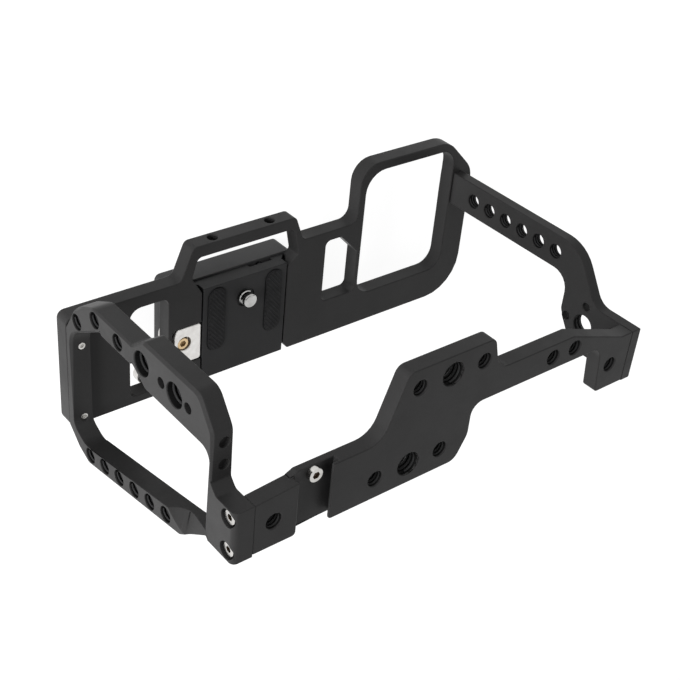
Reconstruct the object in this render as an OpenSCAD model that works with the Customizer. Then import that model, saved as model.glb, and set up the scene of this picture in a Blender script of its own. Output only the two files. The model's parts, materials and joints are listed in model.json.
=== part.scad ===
// Camera cage for a compact cinema camera body, standing on its quick release clamp.
// X runs along the camera body from the side plate to the grip arm, Y from the rear of the camera
// to the lens side, and Z up from the foot of the clamp. The origin is the centre of the tripod
// thread in the foot of the clamp.

/* [Camera space] */
// Clear width between the side plate and the grip arm
body_w = 181.2; // [150:0.1:210]
// Clear height between the base plate and the top plate
body_h = 102.2; // [95:0.1:125]

/* [Base plate] */
// Thickness of the base plate
base_t = 7.2; // [6.5:0.1:9]
// Depth of the base plate left of the handle loop
base_left_d = 49.5; // [47.5:0.1:52]
// Depth of the base plate right of the handle loop
base_right_d = 51.7; // [50:0.1:54]
// Length of base plate that runs past the outside of the grip arm
base_tail = 5.9; // [5:0.1:12]
// Radius of the rear right corner of the base plate
base_corner_r = 18; // [8:0.5:20]
// Radius of the small corners at the side plate end
base_end_r = 3; // [1:0.1:5]

/* [Handle loop] */
// Depth of the base plate at the front of the handle loop
loop_d = 63.3; // [62:0.1:68]
// Thickness of the loop bar, front to back
loop_bar = 5.2; // [4.6:0.1:6]
// Width of the foot of the loop on the side plate side
loop_left_leg = 5.2; // [4.4:0.1:6]
// Width of the foot of the loop on the grip side
loop_right_leg = 2.1; // [1.8:0.1:4]
// Tapped hole in the front of the loop bar, core diameter
loop_hole_d = 4.2; // [2.5:0.1:4.2]
// Distance between the two tapped holes in the loop bar
loop_hole_gap = 27; // [18:0.5:30]

/* [Battery door opening] */
// Width of the battery door opening
door_w = 49; // [35:0.5:52]
// Depth of the battery door opening
door_d = 59; // [54:0.5:62]
// Distance from the rear edge to the battery door opening
door_rear = 14.6; // [11:0.1:20]
// Wall between the opening and the left edge of its frame
door_left_wall = 3.4; // [2.5:0.1:5]
// Wall in front of the opening
door_front_wall = 4.1; // [3:0.1:6]
// Corner radius of the opening
door_r = 7.5; // [3:0.5:10]

/* [Base plate windows] */
// Width of the large window near the side plate
big_window_w = 17.2; // [10:0.2:18]
// Depth of the large window
big_window_d = 40.6; // [20:0.2:41]
// Width of the slot beside the battery door opening
slot_w = 17.6; // [12:0.2:18]
// Depth of the slot beside the battery door opening
slot_d = 29.4; // [20:0.2:31]

/* [Camera plate] */
// Width of the camera plate
plate_w = 40.3; // [36:0.1:41]
// Length of the camera plate
plate_l = 43.2; // [42.5:0.1:44.4]
// Width that each dovetail flank adds at the underside
dovetail = 2.4; // [1.6:0.1:2.8]
// Gap beside the camera plate in its channel
channel_gap = 0.65; // [0.4:0.05:1]
// Width of a rubber grip pad
pad_w = 8.3; // [5:0.1:9]
// Length of a rubber grip pad
pad_l = 29.4; // [20:0.1:32]
// Depth of the pocket that a grip pad is glued into
pad_pocket = 0.9; // [0.6:0.1:1.4]
// Height that a grip pad stands above the camera plate
pad_proud = 0.5; // [0.2:0.1:0.8]

/* [Clamp] */
// Height of the clamp body below the base plate
clamp_h = 11; // [10.5:0.1:13]
// Width of the clamp body
clamp_w = 59.4; // [58.8:0.1:61]
// Length of the clamp body, front to back
clamp_l = 44; // [43.6:0.1:45]
// Length of the lock lever from its screw to the centre of its tip
lever_l = 19.6; // [18:0.1:22]
// Thickness of the lock lever
lever_t = 4; // [3:0.1:4.2]
// Direction of the lever at rest, from the grip side
lever_rest_angle = 229.5; // [222:0.5:232]
// Eccentricity of the boss that drives the jaw
cam_throw = 0.7; // [0.4:0.05:0.8]

/* [Side plate] */
// Thickness of the side plate
side_t = 8; // [7:0.1:10]
// Distance from the rear edge to the front of the upper bar
side_front = 65.8; // [65:0.1:68]
// Extra depth of the upper bar around its two large holes
side_bulge = 5.5; // [4:0.1:7]
// Width of the upper bar
side_bar = 8.2; // [7.8:0.1:9]
// Width of the lower bar
side_lower_bar = 8.9; // [8.7:0.1:9.6]
// Thickness of the wall at the top end of the side window
side_wall = 2.1; // [1.6:0.1:3]
// Thickness of the flange that is screwed to the base plate
side_flange = 3.2; // [2.6:0.1:4]
// Distance that the lower bar drops behind the rear edge at the base plate
side_drop = 7.4; // [4:0.1:9]

/* [Top plate] */
// Thickness of the top plate
top_t = 6.6; // [6:0.1:8]
// Distance from the rear edge of the base plate to the rear edge of the top plate
top_rear = 16.5; // [12:0.1:18]
// Depth of the low part of the top plate
top_low_d = 24.2; // [20:0.1:26]
// Depth of the deep part of the top plate
top_deep_d = 49.6; // [48:0.1:54]
// Width of the narrow bar that runs to the grip arm
top_bar = 11.7; // [11:0.1:13]
// Depth of the accessory seat below the outer face
seat_depth = 3.7; // [2.5:0.1:3.8]
// Width of the accessory seat
seat_w = 13.8; // [12:0.1:16]

/* [Grip arm] */
// Thickness of the grip arm
arm_t = 5.1; // [4:0.1:7]
// Depth of the grip arm, front to back
arm_d = 14.8; // [12:0.1:16]
// Distance from the rear edge to the front of the grip arm
arm_front = 62; // [58:0.1:64]
// Length of the row of tapped holes in the grip arm, as a share of the clear height
arm_row_share = 0.48; // [0.42:0.01:0.5]
// Number of tapped holes in the grip arm
arm_holes = 6; // [3:1:6]

/* [Holes] */
// Mouth diameter of the small camera thread, a quarter inch
small_thread_d = 6.35; // [6:0.05:6.5]
// Mouth diameter of the large camera thread, three eighths of an inch
large_thread_d = 9.53; // [9:0.05:9.6]
// Distance from a large hole to the locating holes or small threads beside it
locating_gap = 8; // [7.5:0.1:9]
// Distance between neighbouring holes of a row in the top plate
top_hole_pitch = 15; // [13:0.1:15.4]
// Length of the row of holes in the lower bar of the side plate, as a share of the clear height
side_row_share = 0.528; // [0.44:0.008:0.536]

/* [Hidden] */

// Overrun of every cut past the face that it opens
over = 1;
// Points in each rounded corner of an outline
corner_steps = 6;

// Main levels and places of the cage, from the rear edge, the left end and the foot
base_z = clamp_h;
inner_z = base_z + base_t;
top_z = inner_z + body_h;
cage_h = top_z + top_t;
arm_x = side_t + body_w;
cage_w = arm_x + arm_t + base_tail;

// Camera plate and its channel
plate_x = 79.8;
plate_rest_gap = 0.2;
dovetail_foot = 0.9;
channel_w = plate_w + 2 * channel_gap;
channel_left = plate_x - channel_w / 2;
channel_right = plate_x + channel_w / 2;
channel_l = 44.3;
lead_in = 2.4;
lead_in_l = 3.4;
camera_screw_front = 9.8;
camera_screw_y = plate_l - camera_screw_front;
camera_screw_proud = 4;
camera_screw_fit = 0.08;
camera_screw_neck_r = 2.6;
camera_thread_depth = 0.6;
camera_screw_mouth_r = 4.15;
camera_screw_head_r = 7;
camera_screw_head_t = 2.4;
coin_slot_w = 1.8;
coin_slot_depth = 1.4;
pad_offset = 13.8;
pad_front_gap = 1.2;
stop_offset = 10.7;
stop_notch_w = 11;
stop_notch_d = 3.2;
stop_notch_h = 1.9;
stop_r = 1.2;
stop_gap = 0.3;
stop_depth = 4;

// Tripod thread, which is the origin
tripod_x = plate_x;
tripod_y = 12.5;
foot_thread_gap = 15;
bushing_r = large_thread_d / 2;
bushing_core_r = 2.6;
bushing_l = 9;
bushing_slot_w = 1.4;
bushing_slot_depth = 1.2;
core_share = 0.82;

// Lock lever, jaw and their screw
pivot_offset = 29;
pivot_x = plate_x - pivot_offset;
pivot_y = 20.3;
notch_y = 19.4;
notch_w = 13.6;
notch_d = 17.3;
notch_r = 2;
jaw_travel_gap = 1.25;
jaw_gap = 0.3;
jaw_nose_gap = 0.8;
jaw_slant_w = 1.1;
jaw_slant_d = 3.1;
jaw_r = 1.3;
jaw_below = 0.2;
lever_tip_r = 3.9;
lever_neck_r = 2.7;
lever_lift = 0.4;
hub_r = 4.9;
cam_r = 3.5;
cam_h = 3;
cam_fit = 0.1;
pin_r = 1.75;
pin_fit = 0.08;
screw_head_r = 2.45;
screw_head_t = 1.7;
screw_sink = 0.4;
hex_r = 1.4;
hex_depth = 1.1;
washer_t = 0.5;
washer_r = 4.4;
lever_slot_rear = 8.2;
lever_slot_front = 6;
lever_floor = base_z - lever_lift - lever_t - washer_t;
pin_root = 3.2;

// Clamp body
clamp_shift = 2;
clamp_screw_offset = 25.1;
clamp_left_screw_y = [4.6, 39.4];
clamp_right_screw_y = [8, 36];
clamp_head_inset = 0.5;
clamp_screw_r = 1.25;
clamp_head_r = 2.2;
clamp_head_t = 2.5;
clamp_hex_r = 1.15;
clamp_thread_l = 4.5;
access_r = 8.4;
clamp_r = 2.5;

// Fasteners between the four frame pieces
bolt_r = 1.5;
bolt_head_r = 2.75;
bolt_head_t = 3;
bolt_fit = 0.1;
bolt_hex_r = 1.25;
bolt_hex_depth = 1.6;
counterbore_r = 3.4;
counterbore_depth = 4;
side_bolt_l = 13;
flange_bolt_l = 8;
flange_bolt_r = 1;
flange_head_r = 1.45;
flange_head_t = 1.2;
flange_hex_r = 0.75;
flange_hex_depth = 0.7;
flange_screw_x = 4.6;
flange_screw_rear = 5.5;
flange_screw_front = 38.1;
arm_bolt_l = 13;
seat_screw_r = 1.5;
seat_screw_head_r = 2.75;
seat_screw_head_t = 2.1;
seat_screw_l = 2.7;
seat_hex_r = 1.45;
seat_hex_depth = 1.4;

// Windows of the base plate
big_window_x = 26.6;
big_window_y = 3.5;
big_window_front_r = 5;
big_window_r = 3;
slot_x = 119.9;
slot_y = 17.8;
slot_slant_w = 9.6;
slot_slant_d = 9.8;
slot_r = 2.5;
slot_tip_r = 1.2;

// Handle loop outline
loop_left_x = 49;
loop_left_lean = 5.6;
loop_right_x = 107.7;
loop_right_lean = 4.4;
loop_r = 2.6;
loop_foot_r = 3;
loop_tip_r = 1.5;
loop_inner_y = 49.4;
loop_inner_left = loop_left_x + loop_left_leg;
loop_inner_lean = 2.6;
loop_inner_right = loop_right_x - loop_right_leg;
loop_inner_right_lean = 2.8;
loop_inner_foot_y = 45.4;
loop_mouth_y = 40.2;
loop_hole_depth = 4;
loop_hole_mid = 78.8;

// Battery door frame outline
door_outer_r = 9;
door_front_r = 9.5;
door_right_gap = 0.9;
frame_foot_r = 5;
shoulder_r = 12;
shoulder_w = 15.7;
shoulder_y = 61.8;

// Side plate outline in height above the base plate
side_foot_front = 46.4;
side_hip_y = 59.5;
side_hip_h = 8;
side_hip_r = 14;
side_crown = 8;
side_crown_w = 10.8;
side_bow_r = 6;
side_knee_front_h = 20.5;
side_knee_rear = 7;
side_foot_rear = 1.6;
side_drop_h = 14;
side_bulge_h = 0.455 * body_h;
side_bulge_slope = 7.2;
side_window_foot = 3.4;
side_window_corner = 45.2;
side_window_knee_h = 24;
side_window_step_h = 0.509 * body_h;
side_window_step = 5.2;
side_window_top_r = 4;
side_window_top_y = 17.2;
side_window_r = 9;
side_window_foot_r = 5;
lower_bar_taper = 0.5;
side_slope_share = 0.2;
side_bend_h = 0.758 * body_h;
side_neck_drop = 3.1;
side_neck_r = 3;
side_top_r = 9;
side_head_front = 37.6;
side_head_rear = 15.7;
side_head_h = 13.7;
side_edge_r = 2.2;
side_shoulder_y = 40.7;

// Holes of the side plate
side_row_y = 61.3;
side_large_y = 61.9;
side_first_y = 53.2;
side_first_h = 8.6;
side_row_h = 0.2114 * body_h;
side_row_pitch = 0.1526 * body_h;
side_large_h = 0.5166 * body_h;
side_large_pitch = 0.1986 * body_h;
side_lower_first_y = -3.2;
side_lower_first_h = 15.4;
side_lower_holes = 6;
side_hole_pitch = side_row_share * body_h / (side_lower_holes - 1);
relief_edge = 0.8;
relief_lean = 35.7;
relief_slant = 31;
relief_start = 8;
relief_cutter_r = 12;
relief_reach = 17;
locating_hole_d = 4;
side_head_hole_gap = 6.9;
side_head_hole_inset = 3.9;
side_wall_hole_d = 4.2;
side_wall_hole_floor = 0.5;
side_wall_hole_x = 5;
side_wall_hole_y = [46.7, 55.6];

// Top plate outline
link_w = 17.5;
link_front = 37.6;
link_r = 1.6;
step_x = side_t + link_w + seat_w;
step_r = 1.2;
lip_t = 1.2;
lip_slot = 3;
seat_screw_x = 33.6;
seat_screw_y = 37.5;
bar_front = 51.5;
s_foot_x = 59.6;
s_foot_r = 9;
s_head_x = 68.8;
s_head_r = 4;
deep_end_x = 109;
deep_end_r = 3;
deep_foot_x = 113;
deep_foot_r = 7;
low_end_x = 102.5;
low_end_r = 8;
low_chamfer = 5;
bar_foot_r = 5;
bevel_start_x = 152.6;
bevel_end_x = 183;
block_front = 40.7;
block_w = 16.6;
block_lean = 1.8;
block_rear = 17.4;
block_r = 1.6;
block_foot_r = 5.5;
top_row_front_x = 89.8;
top_row_front_y = 58.1;
top_row_rear_x = 73.9;
top_row_rear_y = 25.4;
link_hole_x = 16;
link_hole_y = 27.4;
bar_hole_x = [142.5, 154.4];
bar_hole_y = 45.7;
block_hole_x = 179;
block_hole_y = 28.9;

// Grip arm outline in height above the base plate
arm_shoulder_drop = 27.5;
arm_neck_drop = 13.7;
arm_heel_drop = 21.9;
arm_boss_y = 29.8;
arm_boss_drop = 17.9;
arm_boss_h = body_h - arm_boss_drop;
arm_end_rear = 17;
arm_belly_y = 31.5;
arm_belly_drop = 30.4;
arm_belly_h = body_h - arm_belly_drop;
arm_belly_r = 4;
arm_elbow_r = 17;
arm_neck_r = 8;
arm_inner_r = 11;
arm_first_hole_h = 13.9;
arm_hole_pitch = arm_row_share * body_h / (arm_holes - 1);
arm_row_y = 54.2;
arm_locating_gap = 9;
arm_locating_d = 3.6;
arm_base_screw_y = [51.5, 58.5];
arm_end_screw_y = [23, 34.8];

// Two-dimensional helpers
function unit(v) = v / norm(v);
function turn(a) = a > 180 ? a - 360 : a < -180 ? a + 360 : a;
function angle_of(v) = atan2(v.y, v.x);

// Points of the arc that rounds the corner b between a and c
function corner(a, b, c, r) =
    let (u = unit(a - b), w = unit(c - b), half = acos(u * w) / 2,
         room = min(norm(a - b), norm(c - b)) * 0.49,
         reach = min(r / tan(half), room), fit_r = reach * tan(half),
         mid = b + unit(u + w) * fit_r / sin(half),
         start = angle_of(b + u * reach - mid),
         sweep = turn(angle_of(b + w * reach - mid) - start))
    [for (i = [0:corner_steps]) mid + fit_r * [cos(start + sweep * i / corner_steps),
                                               sin(start + sweep * i / corner_steps)]];

// Outline through points [x, y, radius], with each corner rounded by its own radius
function rounded(points) =
    let (n = len(points))
    [for (i = [0:n - 1])
        let (a = points[(i + n - 1) % n], b = points[i], c = points[(i + 1) % n])
        each (b.z > 0 ? corner([a.x, a.y], [b.x, b.y], [c.x, c.y], b.z) : [[b.x, b.y]])];

// Moves the drawing frame from the rear left foot of the cage to the tripod thread
module placed() translate([-tripod_x, -tripod_y, 0]) children();

// Plate in the X-Y plane between two heights
module flat_plate(points, low, high) translate([0, 0, low]) linear_extrude(high - low) polygon(points);

// Plate in the Y-Z plane between two places along X, with heights measured from the base plate
module upright_plate(points, left, right)
    translate([left, 0, inner_z]) rotate([90, 0, 90]) linear_extrude(right - left) polygon(points);

// Round hole or shaft along Z, and the same along X and along Y
module along_z(x, y, low, high, r) translate([x, y, low]) cylinder(h = high - low, r = r, $fn = 48);
module along_x(left, right, y, z, r)
    translate([left, y, z]) rotate([0, 90, 0]) cylinder(h = right - left, r = r, $fn = 48);
module along_y(x, rear, front, z, r)
    translate([x, front, z]) rotate([90, 0, 0]) cylinder(h = front - rear, r = r, $fn = 48);

// Cap screw whose head top is at the origin and whose shank points down
module cap_screw(head_r, head_t, shank_r, shank_l, socket_r, socket_depth) {
    difference() {
        translate([0, 0, -head_t]) cylinder(h = head_t, r = head_r, $fn = 40);
        translate([0, 0, -socket_depth]) cylinder(h = socket_depth + over, r = socket_r, $fn = 6);
    }
    translate([0, 0, -head_t - shank_l]) cylinder(h = shank_l, r = shank_r, $fn = 48);
}

function base_outline() = rounded([
    [0, 0, base_end_r], [cage_w, 0, base_corner_r], [cage_w, shoulder_y, shoulder_r],
    [cage_w - shoulder_w, door_rear + door_d + door_front_wall, shoulder_r],
    [frame_left(), door_rear + door_d + door_front_wall, door_outer_r],
    [frame_left(), base_right_d, frame_foot_r], [loop_right_x, base_right_d, loop_foot_r],
    [loop_right_x - loop_right_lean, loop_d, loop_r], [loop_left_x + loop_left_lean, loop_d, loop_r],
    [loop_left_x, base_left_d, loop_foot_r], [0, base_left_d, base_end_r]
]);
function door_right() = arm_x - door_right_gap;
function door_left() = door_right() - door_w;
function frame_left() = door_left() - door_left_wall;

// Opening of the handle loop, which runs into the channel of the camera plate
function loop_opening() = rounded([
    [loop_inner_left, loop_inner_y, loop_foot_r],
    [loop_inner_left + loop_inner_lean, loop_d - loop_bar, loop_r],
    [loop_inner_right - loop_inner_right_lean, loop_d - loop_bar, loop_r],
    [loop_inner_right, loop_inner_foot_y, loop_tip_r],
    [channel_right - over, loop_mouth_y, 0], [channel_left + over, loop_mouth_y, 0]
]);

// Cross-section of the camera plate, or of its channel when grow is the clearance
function dovetail_section(w, grow) =
    let (top = w / 2 + grow, foot = w / 2 + dovetail + grow,
         bend = dovetail_foot + grow)
    [[-foot, -over], [foot, -over], [foot, bend], [top, bend + dovetail],
     [top, base_t + over], [-top, base_t + over], [-top, bend + dovetail], [-foot, bend]];

module channel_cut() {
    translate([plate_x, channel_l, base_z]) rotate([90, 0, 0])
        linear_extrude(channel_l + over) polygon(dovetail_section(plate_w, channel_gap));
    for (side = [-1, 1]) flat_plate([
        [plate_x + side * (channel_w / 2 + lead_in), -over],
        [plate_x + side * (channel_w / 2 + lead_in), 0],
        [plate_x + side * (channel_w / 2 - over), lead_in_l + over],
        [plate_x + side * (channel_w / 2 - over), -over]
    ], base_z - over, inner_z + over);
}

module base_plate() color("#2b2b2d") placed() difference() {
    flat_plate(base_outline(), base_z, inner_z);
    channel_cut();
    flat_plate(loop_opening(), base_z - over, inner_z + over);
    flat_plate(rounded([
        [door_left(), door_rear, door_r], [door_right(), door_rear, door_r],
        [door_right(), door_rear + door_d, door_r], [door_left(), door_rear + door_d, door_front_r]
    ]), base_z - over, inner_z + over);
    flat_plate(rounded([
        [big_window_x, big_window_y, big_window_r],
        [big_window_x + big_window_w, big_window_y, big_window_r],
        [big_window_x + big_window_w, big_window_y + big_window_d, big_window_r],
        [big_window_x, big_window_y + big_window_d, big_window_front_r]
    ]), base_z - over, inner_z + over);
    flat_plate(rounded([
        [slot_x, slot_y, slot_r], [slot_x + slot_w, slot_y, slot_r],
        [slot_x + slot_w, slot_y + slot_d - slot_slant_d, slot_tip_r],
        [slot_x + slot_w - slot_slant_w, slot_y + slot_d, slot_tip_r],
        [slot_x, slot_y + slot_d, slot_r]
    ]), base_z - over, inner_z + over);
    flat_plate(rounded([
        [channel_left - notch_w, notch_y - notch_d / 2, notch_r],
        [channel_left + over, notch_y - notch_d / 2, 0],
        [channel_left + over, notch_y + notch_d / 2, 0],
        [channel_left - notch_w, notch_y + notch_d / 2, notch_r]
    ]), base_z - over, inner_z + over);
    for (side = [-1, 1])
        along_y(loop_hole_mid + side * loop_hole_gap / 2, loop_d - loop_hole_depth, loop_d + over,
                base_z + base_t / 2, loop_hole_d / 2);
    for (place = clamp_screw_places())
        along_z(place.x, place.y, base_z - over, base_z + clamp_thread_l + bolt_fit, clamp_screw_r);
    for (y = [flange_screw_rear, flange_screw_front])
        along_z(flange_screw_x, y, inner_z - flange_bolt_l + side_flange, inner_z + over, flange_bolt_r);
    for (y = arm_base_screw_y) {
        along_z(arm_mid_x(), y, base_z - over, inner_z + over, bolt_r + bolt_fit);
        along_z(arm_mid_x(), y, base_z - over, base_z + bolt_head_t, bolt_head_r + bolt_fit);
    }
}

function arm_mid_x() = arm_x + arm_t / 2;

// Lower bar of the side plate: it slopes forward on its way up
function lower_bar_rear(h) = -side_drop + (h - side_drop_h) * side_slope_share;

function side_outline() = rounded([
    [side_foot_rear, 0, 0], [side_foot_front, 0, 0], [side_hip_y, side_hip_h, side_hip_r],
    [side_front, side_knee_front_h, side_top_r], [side_front, side_bulge_h, side_neck_r],
    [side_front + side_bulge, side_bulge_h + side_bulge_slope, side_neck_r],
    [side_front + side_bulge, body_h + top_t - side_head_h - side_crown, side_bow_r],
    [side_front + side_bulge - side_crown_w, body_h + top_t - side_head_h, side_bow_r],
    [side_shoulder_y, body_h + top_t - side_head_h, side_edge_r],
    [side_head_front, body_h + top_t - side_head_h + side_neck_r, side_edge_r],
    [side_head_front, body_h + top_t, 0], [side_head_rear, body_h + top_t, 0],
    [side_head_rear, body_h + top_t - side_head_h - side_neck_drop, side_edge_r],
    [lower_bar_rear(side_bend_h), side_bend_h, side_neck_r],
    [-side_drop, side_drop_h, side_neck_r],
    [-side_drop + side_neck_r, side_drop_h - side_knee_rear, side_neck_r]
]);

function side_window() = rounded([
    [side_window_foot, side_flange, side_window_foot_r],
    [side_window_corner, side_flange, side_window_r],
    [side_front - side_bar, side_window_knee_h, side_top_r],
    [side_front - side_bar, side_bulge_h, side_neck_r],
    [side_front - side_bar - side_window_step, side_window_step_h + side_neck_r, side_neck_r],
    [side_front - side_bar - side_window_step, body_h + top_t - side_head_h - side_wall, side_window_top_r],
    [side_window_top_y, body_h + top_t - side_head_h - side_wall, side_window_top_r],
    [lower_bar_rear(side_bend_h) + side_lower_bar - lower_bar_taper, side_bend_h, side_neck_r],
    [lower_bar_rear(side_drop_h) + side_lower_bar - side_edge_r, side_drop_h - side_edge_r, side_window_r]
]);

// Rounded corner that is cut from the outer edge of the head, along Y
module head_edge_cut() translate([0, side_head_front + over, cage_h]) rotate([90, 0, 0])
    linear_extrude(side_head_front + over) difference() {
        translate([-over, -side_edge_r]) square([side_edge_r + over, side_edge_r + over]);
        translate([side_edge_r, -side_edge_r]) circle(r = side_edge_r, $fn = 48);
    }

// Slanted relief of the lower bar between its last hole and the head. It is milled with the cutter
// lying along the slant, so its lower end is round
module lower_bar_relief() intersection() {
    upright_plate([
        [-2 * side_drop, side_bend_h - relief_reach],
        [side_head_rear + 2 * side_edge_r, side_bend_h - relief_reach],
        [side_head_rear + 2 * side_edge_r, body_h + top_t - side_head_h - side_wall],
        [side_head_rear - side_edge_r, body_h + top_t - side_head_h + side_edge_r],
        [-2 * side_drop, body_h + top_t - side_head_h + side_edge_r]
    ], -over, side_t);
    translate([relief_edge, lower_bar_rear(side_bend_h), inner_z + side_bend_h])
        rotate([-relief_lean, 0, 0]) rotate([0, 0, -relief_slant]) union() {
            translate([-relief_cutter_r, -relief_reach, relief_start]) rotate([-90, 0, 0])
                cylinder(h = 2 * relief_reach, r = relief_cutter_r, $fn = 64);
            translate([-relief_cutter_r, -relief_reach, relief_start])
                cube([relief_cutter_r, 2 * relief_reach, 2 * relief_reach]);
        }
}
function lower_hole_y(i) = side_lower_first_y + i * side_hole_pitch * sin(side_slope());
function lower_hole_h(i) = side_lower_first_h + i * side_hole_pitch * cos(side_slope());

module side_hole(y, h, d) along_x(-over, side_t + over, y, inner_z + h, d / 2);

// Core of a thread along Z or X between two faces, with a chamfered mouth at each face
module tapped_z(x, y, low, high, d) {
    along_z(x, y, low - over, high + over, d * core_share / 2);
    translate([x, y, low - over])
        cylinder(h = mouth_h(d) + over, r1 = d / 2 + over, r2 = d * core_share / 2, $fn = 48);
    translate([x, y, high - mouth_h(d)])
        cylinder(h = mouth_h(d) + over, r1 = d * core_share / 2, r2 = d / 2 + over, $fn = 48);
}
module tapped_x(left, right, y, z, d)
    translate([left, y, z]) rotate([0, 90, 0]) tapped_z(0, 0, 0, right - left, d);
module side_thread(y, h, d) tapped_x(0, side_t, y, inner_z + h, d);
function mouth_h(d) = d * (1 - core_share) / 2;

module side_plate() color("#323234") placed() difference() {
    upright_plate(side_outline(), 0, side_t);
    upright_plate(side_window(), -over, side_t + over);
    lower_bar_relief();
    side_thread(side_first_y, side_first_h, small_thread_d);
    for (i = [0:1]) side_thread(side_row_y, side_row_h + i * side_row_pitch, small_thread_d);
    for (i = [0:1]) side_thread(side_large_y, side_large_h + i * side_large_pitch, large_thread_d);
    for (side = [-1, 1])
        side_hole(side_large_y, side_large_h + side_large_pitch + side * locating_gap, locating_hole_d);
    for (i = [0:side_lower_holes - 1])
        side_thread(lower_hole_y(i), lower_hole_h(i), small_thread_d);
    for (side = [-1, 1]) {
        along_x(-over, side_t + over, head_mid_y() + side * side_head_hole_gap,
                cage_h - side_head_hole_inset, bolt_r + bolt_fit);
        along_x(-over, counterbore_depth, head_mid_y() + side * side_head_hole_gap,
                cage_h - side_head_hole_inset, counterbore_r);
    }
    for (y = [flange_screw_rear, flange_screw_front]) {
        along_z(flange_screw_x, y, inner_z - over, inner_z + side_flange + over, flange_bolt_r + bolt_fit);
        along_z(flange_screw_x, y, inner_z + side_flange - flange_head_t,
                inner_z + side_flange + side_window_foot_r, flange_head_r + bolt_fit);
    }
    for (y = side_wall_hole_y)
        along_z(side_wall_hole_x, y, cage_h - side_head_h - side_wall + side_wall_hole_floor,
                cage_h - side_head_h + over, side_wall_hole_d / 2);
    head_edge_cut();
}

function side_slope() = atan(side_slope_share);
function head_mid_y() = (side_head_front + side_head_rear) / 2;

function top_front() = top_rear + top_low_d;
function deep_front() = top_rear + top_deep_d;
function bar_rear() = bar_front - top_bar;

// Main field of the top plate, from the accessory seat to the grip arm
function top_outline() = rounded([
    [step_x, top_rear, step_r], [low_end_x - low_chamfer, top_rear, low_chamfer],
    [low_end_x, top_rear + 2 * low_chamfer, low_end_r], [low_end_x, bar_rear(), bar_foot_r],
    [arm_x - block_w - block_lean, bar_rear(), block_foot_r],
    [arm_x - block_w + block_lean / 2, block_rear, block_r], [arm_x, block_rear, 0],
    [arm_x, block_front, 0], [bevel_end_x, block_front, 0], [bevel_start_x, bar_front, 0],
    [deep_foot_x, bar_front, deep_foot_r], [deep_end_x, deep_front(), deep_end_r],
    [s_head_x, deep_front(), s_head_r], [s_foot_x, top_front(), s_foot_r], [step_x, top_front(), 0]
]);

// Block that is screwed to the side plate
function link_outline() = rounded([
    [side_t, top_rear, 0], [side_t + link_w, top_rear, link_r],
    [side_t + link_w, top_front() - link_r, 0], [side_t, link_front, 0]
]);

// Thin floor of the accessory seat, which joins the block to the main field
function seat_outline() = rounded([
    [side_t + link_w - link_r, top_rear, 0], [step_x + lip_slot + over, top_rear, 0],
    [step_x + lip_slot + over, top_front(), 0], [side_t + link_w + link_r, top_front(), link_r],
    [side_t + link_w - link_r, top_front() - link_r, 0]
]);

module lip_slot_cut() flat_plate([
    [step_x - over, top_rear - over], [step_x + lip_slot, top_rear - over],
    [step_x + lip_slot, top_front() + over], [step_x - over, top_front() + over]
], cage_h - seat_depth, cage_h - lip_t);

module top_thread(x, y, d) tapped_z(x, y, top_z, cage_h, d);
module top_hole(x, y, d) along_z(x, y, top_z - over, cage_h + over, d / 2);

module top_plate() color("#2f2f31") placed() difference() {
    union() {
        flat_plate(top_outline(), top_z, cage_h);
        flat_plate(link_outline(), top_z, cage_h);
        flat_plate(seat_outline(), top_z, cage_h - seat_depth);
    }
    lip_slot_cut();
    for (i = [-1, 1]) {
        top_thread(top_row_front_x + i * top_hole_pitch, top_row_front_y, small_thread_d);
        top_thread(top_row_rear_x + i * top_hole_pitch, top_row_rear_y, small_thread_d);
    }
    top_thread(top_row_front_x, top_row_front_y, large_thread_d);
    top_thread(top_row_rear_x, top_row_rear_y, large_thread_d);
    top_thread(link_hole_x, link_hole_y, small_thread_d);
    for (x = bar_hole_x) top_thread(x, bar_hole_y, small_thread_d);
    top_thread(block_hole_x, block_hole_y, small_thread_d);
    top_hole(seat_screw_x, seat_screw_y, 2 * seat_screw_r);
    for (side = [-1, 1])
        along_x(side_t - over, counterbore_depth + side_bolt_l + bolt_fit,
                head_mid_y() + side * side_head_hole_gap, cage_h - side_head_hole_inset, bolt_r);
    for (y = arm_end_screw_y)
        along_x(arm_x + arm_t - bolt_head_t - arm_bolt_l, arm_x + over, y,
                cage_h - side_head_hole_inset, bolt_r);
}

function arm_outline() = rounded([
    [arm_front - arm_d, 0, 0], [arm_front, 0, 0], [arm_front, body_h - arm_shoulder_drop, arm_elbow_r],
    [block_front, body_h - arm_neck_drop, arm_neck_r],
    [block_front, body_h + top_t, 0], [arm_end_rear, body_h + top_t, 0],
    [arm_end_rear, body_h - arm_heel_drop, arm_neck_r], [arm_belly_y, arm_belly_h, arm_belly_r],
    [arm_front - arm_d, arm_belly_h, arm_inner_r]
]);

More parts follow.
